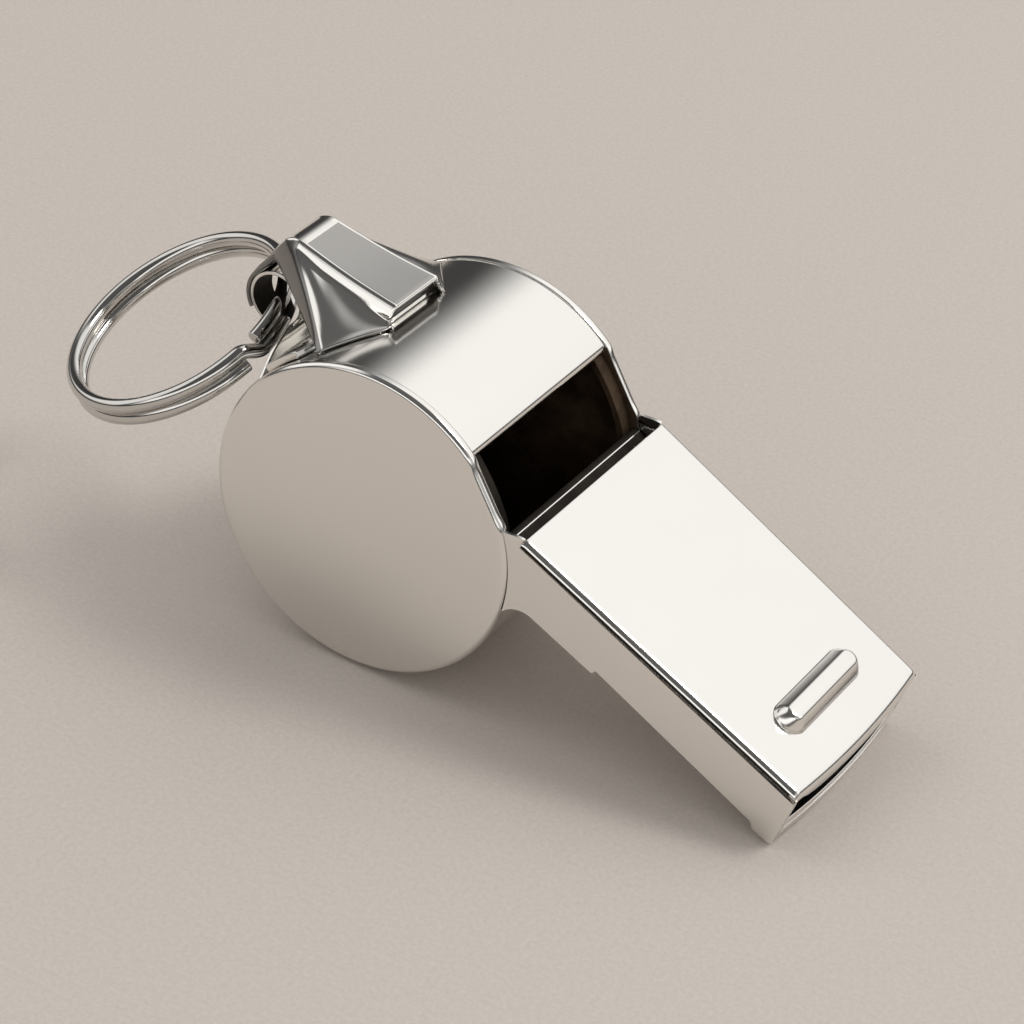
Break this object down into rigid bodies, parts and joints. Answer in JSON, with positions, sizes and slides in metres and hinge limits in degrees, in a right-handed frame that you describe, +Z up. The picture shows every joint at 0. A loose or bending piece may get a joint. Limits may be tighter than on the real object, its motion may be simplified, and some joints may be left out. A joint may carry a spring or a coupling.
{
  "type": "whistle",
  "caption": "Metal pea whistle: round barrel with a cork pea, flat tapered mouthpiece, raised lug with an eye, and a swinging split ring.",
  "frame": {"origin": "centre of the bounding box's bottom face; the whistle stands nose down on its barrel and on the tip of its mouthpiece", "axes": "+X towards the mouthpiece's tip, +Y along the barrel's axis towards the player's left, +Z up"},
  "size_m": [0.0684, 0.0222, 0.0288],
  "materials": {
    "barrel_nickel": "polished nickel plate on sheet brass",
    "mouthpiece_nickel": "polished nickel plate on sheet brass",
    "lug_nickel": "polished nickel plate on sheet brass",
    "ring_steel": "polished nickel-plated spring steel wire",
    "pea_cork": "natural cork"
  },
  "bodies": {
    "whistle": {"barrel_strip": "barrel_nickel", "left_end_cap": "barrel_nickel", "right_end_cap": "barrel_nickel", "left_cheek": "mouthpiece_nickel", "right_cheek": "mouthpiece_nickel", "mouth_top_plate": "mouthpiece_nickel", "mouth_bottom_plate": "mouthpiece_nickel", "windway_floor": "mouthpiece_nickel", "upper_tooth_grip": "mouthpiece_nickel", "lower_tooth_ridge": "mouthpiece_nickel", "lug_saddle": "lug_nickel", "lug_hood": "lug_nickel", "lug_eye_strap": "lug_nickel"},
    "ring": {"split_ring": "ring_steel"},
    "pea": {"cork_pea": "pea_cork"}
  },
  "joints": [
    {"name": "ring_swing", "type": "hinge", "parent": "whistle", "child": "ring", "pos_m": [-0.01783, 0.00096, 0.02224], "axis": [0, 1, 0], "range_deg": [-25, 50]},
    {"name": "pea_orbit", "type": "hinge", "parent": "whistle", "child": "pea", "pos_m": [-0.00375, 0.00096, 0.01298], "axis": [0, 1, 0], "continuous": true}
  ]
}
